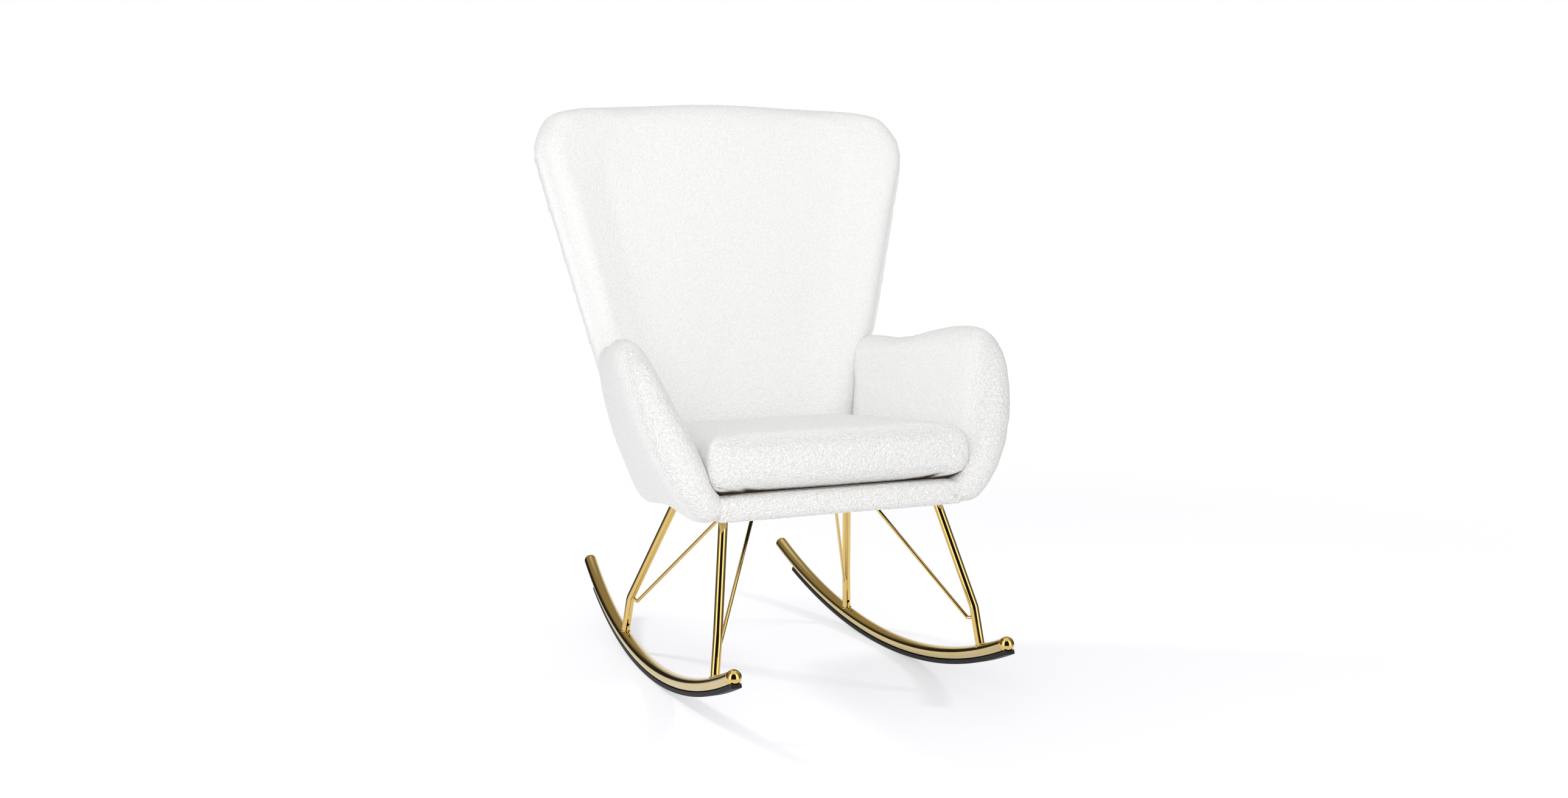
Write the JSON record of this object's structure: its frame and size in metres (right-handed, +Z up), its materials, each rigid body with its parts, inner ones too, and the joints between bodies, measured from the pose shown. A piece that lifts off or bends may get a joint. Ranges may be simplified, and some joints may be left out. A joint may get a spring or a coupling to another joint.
{
  "type": "rocking chair",
  "caption": "Upholstered wing-back rocking chair with padded arms, a loose seat cushion and a gold-coloured tube base on curved runners with anti-slip strips",
  "frame": {"origin": "on the floor, on the plane of symmetry, under the line where the runners touch the floor", "axes": "+Z up, the sitter faces -Y, +X is to the viewer's right when facing the chair's front"},
  "size_m": [0.7633, 0.9251, 1.0498],
  "materials": {
    "gold": "polished gold-coloured plating on steel tube",
    "rubber": "matt black rubber",
    "boucle": "white looped teddy fabric over foam",
    "plywood": "raw plywood",
    "black_steel": "black powder coat",
    "zinc": "zinc-plated steel",
    "black_cloth": "black webbing and non-woven cloth",
    "felt": "grey felt"
  },
  "bodies": {
    "chair": {"anti_slip_strip_left": "rubber", "anti_slip_strip_right": "rubber", "arm_bolt_front_left": "zinc", "arm_bolt_front_right": "zinc", "arm_bolt_rear_left": "zinc", "arm_bolt_rear_right": "zinc", "arm_outside_left": "boucle", "arm_outside_right": "boucle", "arm_pad_left": "boucle", "arm_pad_right": "boucle", "arm_panel_left": "plywood", "arm_panel_right": "plywood", "back_bolt_left": "zinc", "back_bolt_middle": "zinc", "back_bolt_right": "zinc", "back_frame": "plywood", "back_outside": "boucle", "back_pad": "boucle", "base_bolt_front_left": "zinc", "base_bolt_front_right": "zinc", "base_bolt_rear_left": "zinc", "base_bolt_rear_right": "zinc", "brace_front_left": "gold", "brace_front_right": "gold", "brace_rear_left": "gold", "brace_rear_right": "gold", "cross_plate": "black_steel", "deck_pad": "felt", "dust_cover": "black_cloth", "front_rail_pad": "boucle", "leg_front_left": "gold", "leg_front_right": "gold", "leg_rear_left": "gold", "leg_rear_right": "gold", "runner_front_ball_left": "gold", "runner_front_ball_right": "gold", "runner_left": "gold", "runner_rear_cap_left": "gold", "runner_rear_cap_right": "gold", "runner_right": "gold", "seat_front_rail": "plywood", "seat_rear_rail": "plywood", "seat_side_rail_left": "plywood", "seat_side_rail_right": "plywood", "side_bar_left": "black_steel", "side_bar_right": "black_steel", "webbing_1": "black_cloth", "webbing_2": "black_cloth", "webbing_3": "black_cloth", "webbing_4": "black_cloth"},
    "loose_cushion": {"seat_cushion": "boucle"}
  },
  "joints": [
    {"name": "cushion_lift", "type": "slide", "parent": "chair", "child": "loose_cushion", "axis": [0, 0, 1], "range_m": [0, 0.3]}
  ]
}
